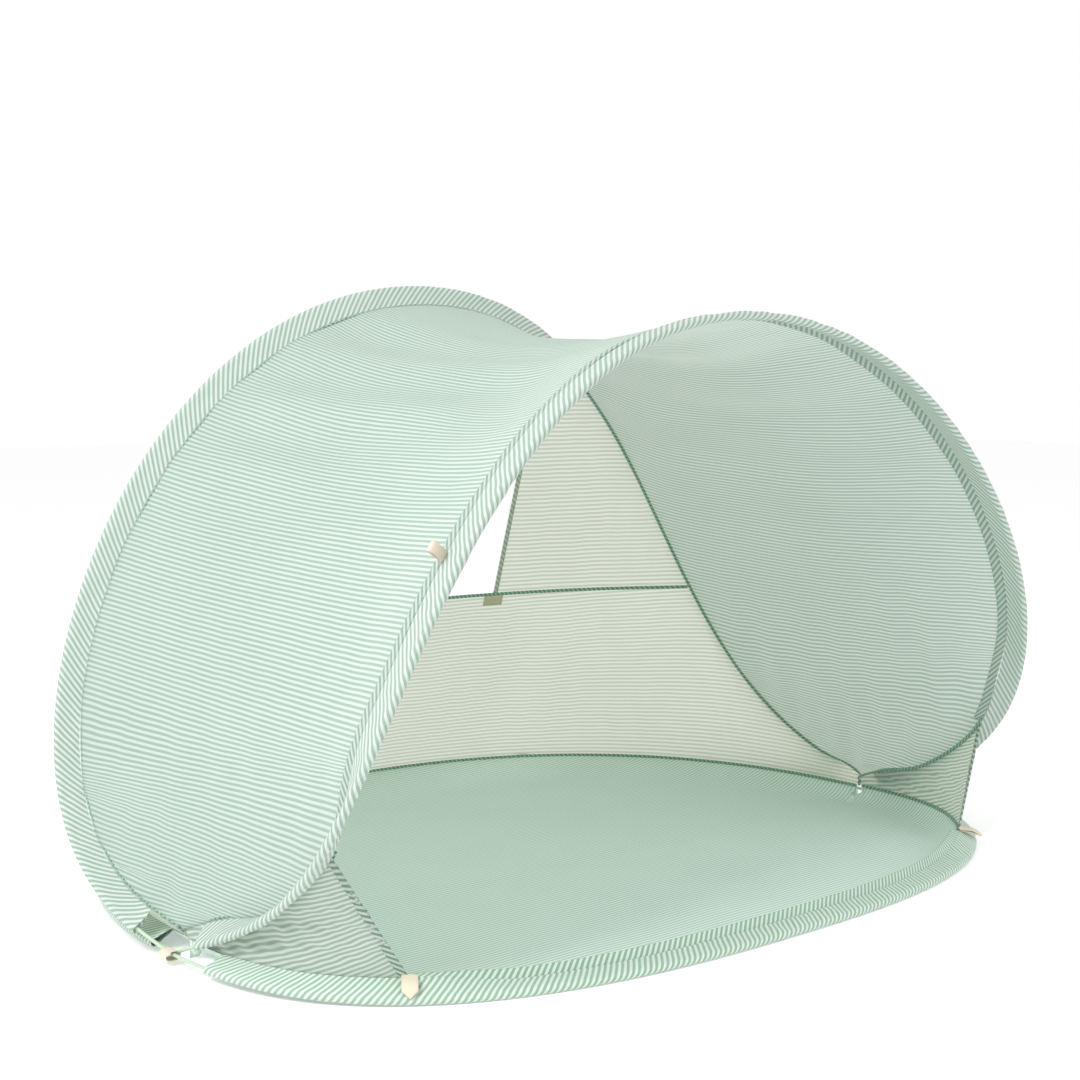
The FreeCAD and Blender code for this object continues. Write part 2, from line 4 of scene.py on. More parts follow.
import bpy
import numpy as np
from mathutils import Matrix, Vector


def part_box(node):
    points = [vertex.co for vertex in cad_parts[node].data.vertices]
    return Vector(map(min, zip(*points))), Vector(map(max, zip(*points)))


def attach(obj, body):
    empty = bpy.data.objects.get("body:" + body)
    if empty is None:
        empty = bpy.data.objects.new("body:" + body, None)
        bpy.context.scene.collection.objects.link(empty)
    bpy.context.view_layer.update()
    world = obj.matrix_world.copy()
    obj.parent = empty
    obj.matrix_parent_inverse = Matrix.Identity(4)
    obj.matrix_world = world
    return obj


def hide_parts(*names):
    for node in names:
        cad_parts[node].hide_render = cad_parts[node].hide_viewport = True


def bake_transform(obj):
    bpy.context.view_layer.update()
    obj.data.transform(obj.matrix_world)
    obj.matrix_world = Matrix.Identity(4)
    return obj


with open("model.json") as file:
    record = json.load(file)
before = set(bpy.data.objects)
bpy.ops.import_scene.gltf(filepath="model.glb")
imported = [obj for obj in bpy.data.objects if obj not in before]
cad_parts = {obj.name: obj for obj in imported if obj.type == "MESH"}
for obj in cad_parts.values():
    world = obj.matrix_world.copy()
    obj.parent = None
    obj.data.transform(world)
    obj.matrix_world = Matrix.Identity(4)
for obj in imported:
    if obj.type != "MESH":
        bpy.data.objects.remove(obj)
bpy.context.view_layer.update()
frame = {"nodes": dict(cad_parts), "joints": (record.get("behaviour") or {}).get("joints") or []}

# ---- the tent's lines, in metres, in the frame of the CAD ---------------------------------------

SPAN = 0.650  # from the middle to each pivot
PIVOT_Z = frame["joints"][0]["pos_m"][2]
SLEEVE = 0.028  # from the rod's middle to the sleeve's seam
SEAM = 0.0285  # from the rod's middle to where the fabrics meet
FACING = 0.015
FACING_START = 0.320
RIM_HEIGHT = 0.025
RIM_LOW = 0.011
RIM_DROP_RUN = 0.150
GUSSET_ARCH, GUSSET_RIM = 0.316, 0.345
STRIPE = 0.0068
WALL_SEAM_Z = 0.328
WINDOW_HALF = 0.243
WINDOW_TOP = 0.592
PI = math.pi


def unit(v):
    return v / np.maximum(np.linalg.norm(v, axis=-1, keepdims=True), 1e-12)


class Rail:
    """A curve from the left pivot to the right one, read by the distance along it."""

    def __init__(self, left_half):
        right_half = left_half[-2::-1] * [-1, 1, 1]
        self.points = np.vstack([left_half, right_half])
        steps = np.linalg.norm(np.diff(self.points, axis=0), axis=1)
        self.marks = np.r_[0, np.cumsum(steps)]
        self.length = self.marks[-1]

    def at(self, distance):
        return np.stack([np.interp(distance, self.marks, c) for c in self.points.T], -1)

    def along(self, distance):
        return unit(self.at(np.add(distance, 0.002)) - self.at(np.subtract(distance, 0.002)))


def bezier(poles, count=401):
    share = np.linspace(0, 1, count)[:, None]
    rows = [np.broadcast_to(np.array(p, float), (count, 3)) for p in poles]
    while len(rows) > 1:
        rows = [a + (b - a) * share for a, b in zip(rows, rows[1:])]
    return rows[0]


def arch(start_x, foot, knee, shoulder_x, lean, height):
    poles = [(-start_x, 0, PIVOT_Z), foot, knee, (-shoulder_x, lean, height), (0, lean, height)]
    return Rail(bezier(poles))


def floor_line(start_x, depth, power, rod_z):
    turn = np.linspace(0, PI / 2, 401)
    across = np.cos(turn) ** (2 / power)
    across[-1] = 0
    z = rod_z + (PIVOT_Z - rod_z) * across**8
    return Rail(np.stack([-start_x * across, depth * np.sin(turn) ** (2 / power), z], -1))


INNER, OUTER = SPAN - 0.0026, SPAN + 0.0026
front = arch(INNER, (-0.5896, -0.245, 0.1138), (-0.6994, -0.4615, 0.1404), 0.529, -0.334, 0.776)
back = arch(OUTER, (-0.715, 0.169, 0.0715), (-0.6481, 0.5545, 0.130), 0.558, 0.359, 0.832)
rim_front = floor_line(OUTER, -0.412, 2.6, 0.0052)
rim_back = floor_line(INNER, 0.635, 2.25, 0.0052)


def smooth(x):
    x = np.clip(x, 0, 1)
    return x * x * (3 - 2 * x)


def squared(rail, distance, direction):
    """The part of a direction square to the rail, made one long."""
    tangent = rail.along(distance)
    return unit(direction - tangent * (direction * tangent).sum(-1, keepdims=True))


def rim_inward(rail, distance):
    way = squared(rail, distance, -rail.at(distance))
    return unit(way * [1, 1, 0])


def from_pivot(rail, distance):
    return np.minimum(distance, rail.length - distance)


def rim_drop(rail, distance):
    """0 where a wall or gusset holds the rim up, 1 along the open front."""
    if rail is rim_back:
        return 0 * np.asarray(distance, float)
    return smooth((from_pivot(rail, distance) - GUSSET_RIM) / RIM_DROP_RUN)


def rim_way(rail, distance):
    """From a floor rod inwards and up to the rim's seam."""
    height = RIM_HEIGHT + (RIM_LOW - RIM_HEIGHT) * rim_drop(rail, distance)
    rise = (height - rail.at(distance)[..., 2])[..., None] / SLEEVE
    return rim_inward(rail, distance) * np.sqrt(1 - rise**2) + np.array([0, 0, 1.0]) * rise


def rim_seam(rail, distance):
    return rail.at(distance) + rim_way(rail, distance) * SLEEVE


def foot_way(rail, distance):
    """Inwards and up: the way an arch's sleeve turns beside its pivot, more level along the leg."""
    rise = 0.35 + 0.45 * smooth((0.170 - from_pivot(rail, distance)) / 0.110)
    side = np.where(np.asarray(distance) < rail.length / 2, 1.0, -1.0) * np.sqrt(1 - rise**2)
    return squared(rail, distance, np.stack([side, 0 * side, rise], -1))


def turned_to_foot(rail, distance, free_way, near, far):
    share = smooth((far - from_pivot(rail, distance)) / (far - near))[..., None]
    return squared(rail, distance, free_way * (1 - share) + foot_way(rail, distance) * share)


def front_side(distance):
    """From the front arch's rod to its sleeve's seam: along the roof, and inwards over the gussets."""
    target = back.at(distance * back.length / front.length)
    roof_way = squared(front, distance, target - front.at(distance))
    return turned_to_foot(front, distance, roof_way, 0.280, 0.500)


def back_side(distance):
    """From the back arch's rod to its sleeve's seam: midway between the roof and the back wall."""
    point = back.at(distance)
    roof_way = squared(back, distance, front.at(distance * front.length / back.length) - point)
    foot = rim_seam(rim_back, distance * rim_back.length / back.length)
    wall_way = squared(back, distance, foot - point)
    return turned_to_foot(back, distance, unit(roof_way + wall_way), 0.020, 0.150)


def arch_seam(rail, share, past=0.0):
    distance = np.asarray(share) * rail.length
    way = front_side(distance) if rail is front else back_side(distance)
    return rail.at(distance) + way * (SEAM + past)


def roof_surface(share, f, sag_top=0.047):
    """The roof cloth at a share of the way round the arches; f runs from the back seam to the front one."""
    start, end = arch_seam(back, share), arch_seam(front, share)
    along = unit(back.along(share * back.length) + front.along(share * front.length))
    outward = unit(np.cross(along, end - start))
    centre = (start + end) / 2 - [0, 0, 0.3 * SPAN]
    outward = outward * np.sign((outward * centre).sum(-1, keepdims=True))
    sag = sag_top * np.abs(np.sin(PI * share)) ** 1.6
    f = np.asarray(f)[..., None]
    return start + (end - start) * f - outward * (sag[..., None] * 4 * f * (1 - f)), outward


def roof_width(share):
    return np.linalg.norm(arch_seam(front, share) - arch_seam(back, share), axis=-1)


# ---- soft uneven shapes -------------------------------------------------------------------------


def wave(x, y, scale, seed, count=6):
    """Smooth, repeatable unevenness between about -1 and 1, from a few slanting sines."""
    rng = np.random.default_rng(seed)
    total = np.zeros(np.broadcast(x, y).shape)
    for _ in range(count):
        angle, phase, stretch = rng.uniform(0, PI), rng.uniform(0, 2 * PI), rng.uniform(0.6, 1.6)
        total += np.sin((x * np.cos(angle) + y * np.sin(angle)) * stretch * 2 * PI / scale + phase)
    return total / count**0.5 / 1.5


def bump_at(x, middle, width):
    return np.exp(-(((x - middle) / width) ** 2))


# ---- meshes -------------------------------------------------------------------------------------


def mesh_piece(name, points, faces, cloth_uv, material):
    mesh = bpy.data.meshes.new(name)
    mesh.from_pydata(points.tolist(), [], faces.tolist())
    layer = mesh.uv_layers.new(name="cloth")
    corner = np.zeros(len(mesh.loops), np.int32)
    mesh.loops.foreach_get("vertex_index", corner)
    layer.data.foreach_set("uv", cloth_uv[corner].astype(np.float32).ravel())
    mesh.polygons.foreach_set("use_smooth", np.ones(len(mesh.polygons), bool))
    mesh.materials.append(material)
    mesh.validate()
    piece = bpy.data.objects.new(name, mesh)
    bpy.context.scene.collection.objects.link(piece)
    return piece


def grid_faces(rows, columns, closed=False, keep=None):
    r = np.arange(rows - 1)[:, None]
    c = np.arange(columns if closed else columns - 1)[None, :]
    right = (c + 1) % columns
    here, below = r * columns, (r + 1) * columns
    quads = np.stack([here + c, here + right, below + right, below + c], -1)
    if keep is not None:
        quads = quads[keep]
    return quads.reshape(-1, 4)


def sheet_grid(name, points, uv, material, keep=None):
    """One layer of cloth from a grid of points."""
    rows, columns = points.shape[:2]
    faces = grid_faces(rows, columns, keep=keep)
    used = np.unique(faces)
    index = np.zeros(rows * columns, int)
    index[used] = np.arange(len(used))
    return mesh_piece(name, points.reshape(-1, 3)[used], index[faces], uv.reshape(-1, 2)[used], material)


def round_band(across):
    """Values across a band, carried round both its sides and its edges."""
    return np.concatenate([across, across[:, -1:], across[:, ::-1], across[:, :1]], 1)


def band(name, points, normals, thickness, uv, material):
    """A closed flat band of tape or folded cloth from a grid of points across and along it."""
    half = normals * (thickness / 2)
    edge_in = points[:, 1:2] * 0.12 + points[:, :1] * 0.88
    edge_out = points[:, -2:-1] * 0.12 + points[:, -1:] * 0.88
    inner = np.concatenate([edge_in, points[:, 1:-1], edge_out], 1)
    ring = np.concatenate([inner + half, points[:, -1:], (inner - half)[:, ::-1], points[:, :1]], 1)
    uv_ring = round_band(uv)
    rows, columns = ring.shape[:2]
    faces = grid_faces(rows, columns, closed=True)
    caps = np.array([[k, k + 1, columns - k - 3, columns - k - 2] for k in range(columns // 2 - 1)])
    caps = np.vstack([caps[:, ::-1], caps + (rows - 1) * columns])
    return mesh_piece(name, ring.reshape(-1, 3), np.vstack([faces, caps]), uv_ring.reshape(-1, 2), material)


def normals_of(points):
    du = np.gradient(points, axis=1)
    dv = np.gradient(points, axis=0)
    return unit(np.cross(du, dv))


# ---- materials ----------------------------------------------------------------------------------


def linear(r, g, b):
    c = np.array([r, g, b]) / 255
    return (*np.where(c < 0.04045, c / 12.92, ((c + 0.055) / 1.055) ** 2.4), 1.0)


class Nodes:
    def __init__(self, name):
        self.material = bpy.data.materials.new(name)
        self.material.use_nodes = True
        self.tree = self.material.node_tree
        self.tree.nodes.clear()

    def add(self, kind, **settings):
        node = self.tree.nodes.new(kind)
        for key, value in settings.items():
            if key in node.inputs:
                node.inputs[key].default_value = value
            else:
                setattr(node, key, value)
        return node

    def join(self, source, out, target, into):
        self.tree.links.new(source.outputs[out], target.inputs[into])

    def math(self, operation, a, b=None, c=None):
        node = self.add("ShaderNodeMath", operation=operation)
        for slot, value in enumerate((a, b, c)):
            if value is None:
                continue
            if isinstance(value, (int, float)):
                node.inputs[slot].default_value = value
            else:
                self.tree.links.new(value, node.inputs[slot])
        return node.outputs[0]


WARM = (1.0, 0.925, 0.85, 1.0)  # light that has come through the roof is creamier
PALE = (1.0, 0.985, 0.95, 1.0)
STRIPE_SOFTNESS = 0.07  # half the blurred edge of a stripe, in periods
THREAD = 0.0007
RIB = 0.0016  # from rib to rib across cotton tape
TAPE_UNEVENNESS = 0.10


def cloth_finish(n, colour, see_through, roughness, height=None, bump=0.15, distance=0.0004, tint=WARM):
    shader = n.add("ShaderNodeBsdfPrincipled")
    shader.inputs["Roughness"].default_value = roughness
    shader.inputs["Sheen Weight"].default_value = 0.25
    shader.inputs["Sheen Roughness"].default_value = 0.45
    shader.inputs["Specular IOR Level"].default_value = 0.25
    n.tree.links.new(colour, shader.inputs["Base Color"])
    relief = None
    if height is not None:
        relief = n.add("ShaderNodeBump")
        relief.inputs["Strength"].default_value = bump
        relief.inputs["Distance"].default_value = distance
        n.tree.links.new(height, relief.inputs["Height"])
        n.join(relief, "Normal", shader, "Normal")
    out = n.add("ShaderNodeOutputMaterial")
    if see_through:
        glow = n.add("ShaderNodeBsdfTranslucent")
        warm = n.add("ShaderNodeMix", data_type="RGBA", blend_type="MULTIPLY")
        warm.inputs["Factor"].default_value = 1.0
        warm.inputs["B"].default_value = tint
        n.tree.links.new(colour, warm.inputs["A"])
        n.join(warm, "Result", glow, "Color")
        if relief:
            n.join(relief, "Normal", glow, "Normal")
        mix = n.add("ShaderNodeMixShader")
        mix.inputs[0].default_value = see_through
        n.tree.links.new(shader.outputs[0], mix.inputs[1])
        n.tree.links.new(glow.outputs[0], mix.inputs[2])
        n.tree.links.new(mix.outputs[0], out.inputs[0])
    else:
        n.tree.links.new(shader.outputs[0], out.inputs[0])
    return n.material


def striped(name, light, dark, angle=0.0, period=STRIPE, see_through=0.3, tint=WARM):
    """Woven stripe on the cloth's own UVs, in metres; angle turns it, in degrees, for bias cut cloth."""
    n = Nodes(name)
    uv = n.add("ShaderNodeUVMap", uv_map="cloth")
    parts = n.add("ShaderNodeSeparateXYZ")
    n.join(uv, 0, parts, 0)
    x, y = parts.outputs[0], parts.outputs[1]
    turn = math.radians(angle)
    by_y = n.math("MULTIPLY", y, math.cos(turn) / period)
    by_x = n.math("MULTIPLY", x, math.sin(turn) / period)
    across = n.math("ADD", by_y, by_x)
    waver = n.add("ShaderNodeTexNoise", Scale=18.0, Detail=1.0)
    n.join(uv, 0, waver, "Vector")
    across = n.math("MULTIPLY_ADD", waver.outputs[0], 0.18, across)
    saw = n.math("PINGPONG", across, 0.5)
    edge = n.add("ShaderNodeMapRange", interpolation_type="SMOOTHERSTEP")
    n.tree.links.new(saw, edge.inputs["Value"])
    edge.inputs["From Min"].default_value = 0.25 - STRIPE_SOFTNESS
    edge.inputs["From Max"].default_value = 0.25 + STRIPE_SOFTNESS
    stripes = n.add("ShaderNodeMix", data_type="RGBA")
    stripes.inputs["A"].default_value = dark
    stripes.inputs["B"].default_value = light
    n.tree.links.new(edge.outputs[0], stripes.inputs["Factor"])
    # warp and weft threads, then a slow change of tone over the cloth
    threads = n.math(
        "MULTIPLY",
        n.math("SINE", n.math("MULTIPLY", x, 2 * PI / THREAD)),
        n.math("SINE", n.math("MULTIPLY", y, 2 * PI / THREAD)),
    )
    tone = n.add("ShaderNodeTexNoise", Scale=6.0, Detail=4.0, Roughness=0.6)
    n.join(uv, 0, tone, "Vector")
    value = n.math("MULTIPLY_ADD", tone.outputs[0], 0.07, n.math("MULTIPLY_ADD", threads, 0.015, 0.965))
    shade = n.add("ShaderNodeMix", data_type="RGBA", blend_type="MULTIPLY")
    shade.inputs["Factor"].default_value = 1.0
    n.tree.links.new(stripes.outputs["Result"], shade.inputs["A"])
    grey = n.add("ShaderNodeCombineColor")
    for slot in range(3):
        n.tree.links.new(value, grey.inputs[slot])
    n.tree.links.new(grey.outputs[0], shade.inputs["B"])
    colour = shade.outputs["Result"]
    return cloth_finish(n, colour, see_through, 0.78, threads, tint=tint)


def taped(name, base):
    """Plain cotton tape: fine ribs along it, and a little unevenness."""
    n = Nodes(name)
    uv = n.add("ShaderNodeUVMap", uv_map="cloth")
    parts = n.add("ShaderNodeSeparateXYZ")
    n.join(uv, 0, parts, 0)
    ribs = n.math("SINE", n.math("MULTIPLY", parts.outputs[1], 2 * PI / RIB))
    weft = n.math("SINE", n.math("MULTIPLY", parts.outputs[0], 2 * PI / (RIB * 0.6)))
    height = n.math("MULTIPLY_ADD", weft, 0.4, ribs)
    noise = n.add("ShaderNodeTexNoise", Scale=60.0, Detail=5.0)
    n.join(uv, 0, noise, "Vector")
    ribbed = n.math("MULTIPLY_ADD", height, 0.02, 1 - TAPE_UNEVENNESS)
    value = n.math("MULTIPLY_ADD", noise.outputs[0], TAPE_UNEVENNESS * 2, ribbed)
    grey = n.add("ShaderNodeCombineColor")
    for slot in range(3):
        n.tree.links.new(value, grey.inputs[slot])
    shade = n.add("ShaderNodeMix", data_type="RGBA", blend_type="MULTIPLY")
    shade.inputs["Factor"].default_value = 1.0
    shade.inputs["A"].default_value = base
    n.tree.links.new(grey.outputs[0], shade.inputs["B"])
    return cloth_finish(n, shade.outputs["Result"], 0.0, 0.82, height, 0.3, 0.0003)


def coated(name, base, roughness, metallic=0.0):
    n = Nodes(name)
    place = n.add("ShaderNodeTexCoord")
    noise = n.add("ShaderNodeTexNoise", Scale=240.0, Detail=3.0)
    n.join(place, "Object", noise, "Vector")
    shader = n.add("ShaderNodeBsdfPrincipled", Roughness=roughness, Metallic=metallic)
    ramp = n.add("ShaderNodeMix", data_type="RGBA")
    ramp.inputs["A"].default_value = base
    ramp.inputs["B"].default_value = tuple(c * 0.82 for c in base[:3]) + (1.0,)
    n.tree.links.new(noise.outputs[0], ramp.inputs["Factor"])
    n.tree.links.new(ramp.outputs["Result"], shader.inputs["Base Color"])
    relief = n.add("ShaderNodeBump", Strength=0.1, Distance=0.0002)
    n.tree.links.new(noise.outputs[0], relief.inputs["Height"])
    n.join(relief, "Normal", shader, "Normal")
    out = n.add("ShaderNodeOutputMaterial")
    n.tree.links.new(shader.outputs[0], out.inputs[0])
    return n.material


cloth = striped("woven_stripe", linear(217, 229, 225), linear(172, 196, 187), see_through=0.52)
cloth_wall = striped(
    "woven_stripe_wall", linear(241, 243, 236), linear(208, 217, 205), see_through=0.68, tint=PALE
)
cloth_gusset = striped(
    "woven_stripe_gusset", linear(216, 226, 218), linear(168, 186, 175), period=0.0056, see_through=0.40
)
cloth_floor = striped("woven_stripe_floor", linear(226, 242, 233), linear(184, 211, 198), see_through=0.0)
bias = striped("bias_stripe", linear(224, 232, 226), linear(166, 190, 178), angle=42)
bias_other = striped("bias_stripe_reversed", linear(210, 222, 213), linear(150, 176, 161), angle=-42)
bias_rim = striped("bias_stripe_rim", linear(208, 221, 210), linear(146, 176, 155), angle=55, see_through=0.0)
bias_rim_inner = striped(
    "bias_stripe_rim_facing", linear(206, 222, 210), linear(140, 172, 150), angle=-52, see_through=0.0
)
bias_hem = striped("bias_stripe_hem", linear(206, 218, 208), linear(128, 158, 140), angle=50)
window_hem = striped("bias_stripe_window", linear(214, 220, 208), linear(172, 188, 172), angle=50)
seam_tape = striped(
    "dark_seam", linear(152, 182, 162), linear(92, 134, 108), angle=50, period=0.0060, see_through=0.0
)
ribbon = taped("cream_ribbon", linear(222, 212, 190))
ribbon_pink = taped("blush_ribbon", linear(216, 202, 184))
ribbon_olive = taped("olive_ribbon", linear(190, 186, 156))
rod_coat = coated("pale_green_coating", linear(190, 210, 186), 0.35)
steel = coated("crimped_steel", linear(150, 152, 150), 0.4, 0.9)


# ---- fabric that crosses a fold -----------------------------------------------------------------


def follow(piece):
    """Cloth sewn to two bodies: its placement is baked into its points, and it is attached to neither body.
    """
    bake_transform(piece)
    return piece


# ---- sleeves ------------------------------------------------------------------------------------


SLEEVE_ROUND = 0.0054  # the radius of the cloth's turn round the rod
SLEEVE_TIP = 0.0011  # half the gap between the sleeve's two layers at its seam


def sleeve_ring():
    """A sleeve's outline around its rod: across (towards the seam), up, and the cloth's own width."""
    lean = math.acos(SLEEVE_ROUND / SLEEVE)
    turns = np.linspace(lean, 2 * PI - lean, 9)
    arc = np.stack([np.cos(turns), np.sin(turns)], -1) * SLEEVE_ROUND
    flank = np.linspace(0, 1, 7)[:, None]
    top = np.array([[SLEEVE, SLEEVE_TIP]]) * (1 - flank) + arc[:1] * flank
    low = arc[-1:] * (1 - flank) + np.array([[SLEEVE, -SLEEVE_TIP]]) * flank
    ring = np.vstack([top, arc[1:-1], low])
    steps = np.linalg.norm(np.diff(ring, axis=0), axis=1)
    return ring, np.r_[0, np.cumsum(steps)]


def sleeve(name, rail, bare, way_at, material, node, body, seed):
    """A bias strip folded round a rod: smooth round the rod, slightly puckered at its seam."""
    marks = np.linspace(bare, rail.length - bare, 420)
    ring, width = sleeve_ring()
    centre, way, tangent = rail.at(marks), way_at(marks), rail.along(marks)
    up = unit(np.cross(tangent, way))
    pucker = 1 + 0.16 * wave(marks, 0 * marks, 0.035, seed)[:, None]
    across = ring[None, :, 0] + 0 * marks[:, None]
    slack = 0.0009 * wave(marks[:, None], width[None, :], 0.05, seed + 1)
    rise = ring[None, :, 1] * pucker + slack * np.sin(np.clip(ring[:, 0] / SLEEVE, 0, 1) * PI)
    points = centre[:, None] + way[:, None] * across[..., None] + up[:, None] * rise[..., None]
    uv = np.stack(np.broadcast_arrays(marks[:, None], width[None, :]), -1)
    piece = sheet_grid(name, points, uv, material)
    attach(piece, body)
    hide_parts(node)
    return piece


sleeve("front_arch_sleeve_cloth", front, 0.046, front_side, bias, "front_arch_sleeve", "front_arch", 11)
sleeve("back_arch_sleeve_cloth", back, 0.062, back_side, bias, "back_arch_sleeve", "back_arch", 21)
sleeve(
    "floor_front_sleeve_cloth", rim_front, 0.080,
    lambda d: rim_way(rim_front, d), bias_rim, "floor_front_sleeve", "floor_front", 31,
)
sleeve(
    "floor_back_sleeve_cloth", rim_back, 0.050,
    lambda d: rim_way(rim_back, d), bias_rim, "floor_back_sleeve", "floor_rear", 41,
)

# ---- roof cloth ---------------------------------------------------------------------------------

# The stripes run partly with the arches' lengths and partly square to the roof's middle line.
SQUARE_AT_CROWN = 0.35
SQUARE_TOWARDS_FEET = 0.40  # added one metre down from the crown
STRIPE_FAN = 0.045  # how far the stripes lean apart from back to front
ROOF_STRIPES = 1.07  # the roof's stripes stand a little closer than on the back wall and the floor


def roof_relief(share, f, width):
    """How far the roof cloth stands off its smooth surface: creases by the saddle, puckers at its seams."""
    x = (share - 0.5) * 2.55
    y = (f - 0.5) * width
    near_seam = np.maximum(bump_at(f * width, 0.02, 0.04), bump_at((1 - f) * width, 0.03, 0.05))
    creases = 0.0100 * wave(x * 1.7, y * 0.35, 0.20, 5) * bump_at(np.abs(x), 0.26, 0.30)
    pucker = 0.0010 * wave(x, y * 0.3, 0.026, 6) * near_seam
    hang = 0.0048 * wave(x * 0.35, y * 1.8, 0.15, 7) * smooth((np.abs(x) - 0.60) / 0.35)
    drape = 0.0024 * wave(x * 0.8, y * 1.1, 0.35, 8)
    return creases + pucker + hang + drape


def roof_points(share, f):
    points, outward = roof_surface(share, f)
    width = roof_width(share)
    hold = smooth(f * width / 0.10) * smooth((1 - f) * width / 0.10)
    return points + outward * (roof_relief(share, f, width) * (0.2 + 0.8 * hold))[..., None]


def along_middle(points, share):
    """How far round the roof each point lies, measured square to the roof's middle line."""
    marks = np.linspace(0.002, 0.998, 700)
    line, _ = roof_surface(marks, 0.5 + 0 * marks)
    run = np.r_[0, np.cumsum(np.linalg.norm(np.diff(line, axis=0), axis=1))]
    tangent = unit(np.gradient(line, axis=0))
    at = np.interp(share, marks, run)
    for _ in range(40):
        here = np.stack([np.interp(at, run, c) for c in line.T], -1)
        way = np.stack([np.interp(at, run, c) for c in tangent.T], -1)
        at = at + 0.5 * ((points - here) * way).sum(-1)
    return at


def roof():
    ends = np.linspace(0, 1, 30) ** 1.5 * 0.02 + 0.0025
    shares = np.r_[ends[:-1], np.linspace(ends[-1], 1 - ends[-1], 560), 1 - ends[-2::-1]][:, None]
    f = np.linspace(0, 1, 150)[None, :] + 0 * shares
    shares = shares + 0 * f
    points = roof_points(shares, f)
    crown = roof_surface(np.array([0.5]), np.array([0.5]))[0]
    width = roof_width(shares)
    by_rail = (shares - 0.5) * (front.length + back.length) / 2
    by_middle = along_middle(points, shares) - along_middle(crown, np.array([0.5]))[0]
    square = SQUARE_AT_CROWN + SQUARE_TOWARDS_FEET * smooth(np.abs(by_rail))
    run = by_rail * (1 - square) + by_middle * square
    fan = np.sign(run) * smooth(np.abs(run) / 0.3) * STRIPE_FAN * (f - 0.5) * width
    uv = np.stack([f * width, (run - fan) * ROOF_STRIPES], -1)
    piece = sheet_grid("canopy_cloth", points, uv, cloth)
    follow(piece)
    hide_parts("canopy")
    return piece, (float(roof_width(np.array([0.5]))[0]), float(front.length + back.length) / 2)


canopy_piece, canopy_cut = roof()


def front_facing():
    """The bias band sewn over the roof cloth's front edge, next to the sleeve's seam."""
    first = FACING_START / front.length
    shares = np.linspace(first, 1 - first, 520)[:, None]
    f = 1 - (0.0005 + FACING * np.linspace(0, 1, 6)[None, :]) / roof_width(shares)
    shares = shares + 0 * f
    points = roof_points(shares, f)
    uv = np.stack([shares * front.length, np.linspace(0, FACING, 6)[None, :] + 0 * f], -1)
    piece = band("front_arch_facing_band", points, normals_of(points), 0.0022, uv, bias_other)
    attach(piece, "front_arch")
    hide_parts("front_arch_facing")
    return piece


front_facing()

# ---- back wall ----------------------------------------------------------------------------------


def wall_lines():
    """The wall's straight lines from the floor rim's seam up to the back arch's seam."""
    share = np.linspace(0.002, 1 - 0.002, 801)
    return share, rim_seam(rim_back, share * rim_back.length), arch_seam(back, share)


WALL_SHARE, WALL_FOOT, WALL_TOP = wall_lines()
UPPER_STRIPES = 0.95  # the upper wall's stripes stand a little further apart
HEM, HEM_THICK = 0.008, 0.0020
WALL_SEAM_TAPE = 0.005
TAB = 0.017  # the window tab's height and half its width


def wall_normal(points):
    normal = normals_of(points)
    return normal * np.sign((normal * [0, 1, 0.05]).sum(-1, keepdims=True))


def wall_relief(points, amount=1.0):
    """Soft upright folds in the back wall, strongest below the window."""
    x, z = points[..., 0], points[..., 2]
    folds = 0.0035 * wave(x, z * 0.12, 0.11, 12) + 0.0016 * wave(x, z * 0.3, 0.05, 13)
    return amount * folds * smooth(z / 0.08)


def wall_lower():
    """The wall from the floor's rim up to its cross seam."""
    columns = np.linspace(0, len(WALL_SHARE) - 1, 420).astype(int)
    foot, top = WALL_FOOT[columns], WALL_TOP[columns]
    reach = np.clip((WALL_SEAM_Z - foot[:, 2]) / (top[:, 2] - foot[:, 2]), 0, 1)[:, None]
    v = np.linspace(0, 1, 90)[None, :] * reach
    points = foot[:, None] + (top - foot)[:, None] * v[..., None]
    height = v * np.linalg.norm(top - foot, axis=1)[:, None]
    hold = smooth(v * 8) * smooth((reach - v) * 10)
    points = points + wall_normal(points) * (wall_relief(points) * (0.1 + 0.9 * hold))[..., None]
    girth = WALL_SHARE[columns, None] * rim_back.length + 0 * v
    piece = sheet_grid("back_wall_lower_cloth", points, np.stack([girth, height], -1), cloth_wall)
    follow(piece)
    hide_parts("back_wall_lower")


wall_lower()


def wall_at(x, z):
    """Points of the wall at x and z, with their share of the way up its lines."""
    points, share = np.zeros((*np.shape(x), 3)), np.zeros(np.shape(x))
    for k in np.ndindex(np.shape(x)):
        up = (z[k] - WALL_FOOT[:, 2]) / (WALL_TOP[:, 2] - WALL_FOOT[:, 2])
        line = WALL_FOOT + (WALL_TOP - WALL_FOOT) * up[:, None]
        seen = (up < 1.02) & (np.abs(WALL_SHARE - 0.5) < 0.42)
        points[k] = (x[k], np.interp(x[k], line[seen, 0], line[seen, 1]), z[k])
        share[k] = np.interp(x[k], line[seen, 0], up[seen])
    return points, np.clip(share, 0, 1)


def upper_top(x):
    """The height of the back arch's seam over x, on its upper part."""
    high = WALL_TOP[:, 2] > WALL_SEAM_Z - 0.02
    return np.interp(x, WALL_TOP[high, 0], WALL_TOP[high, 2])


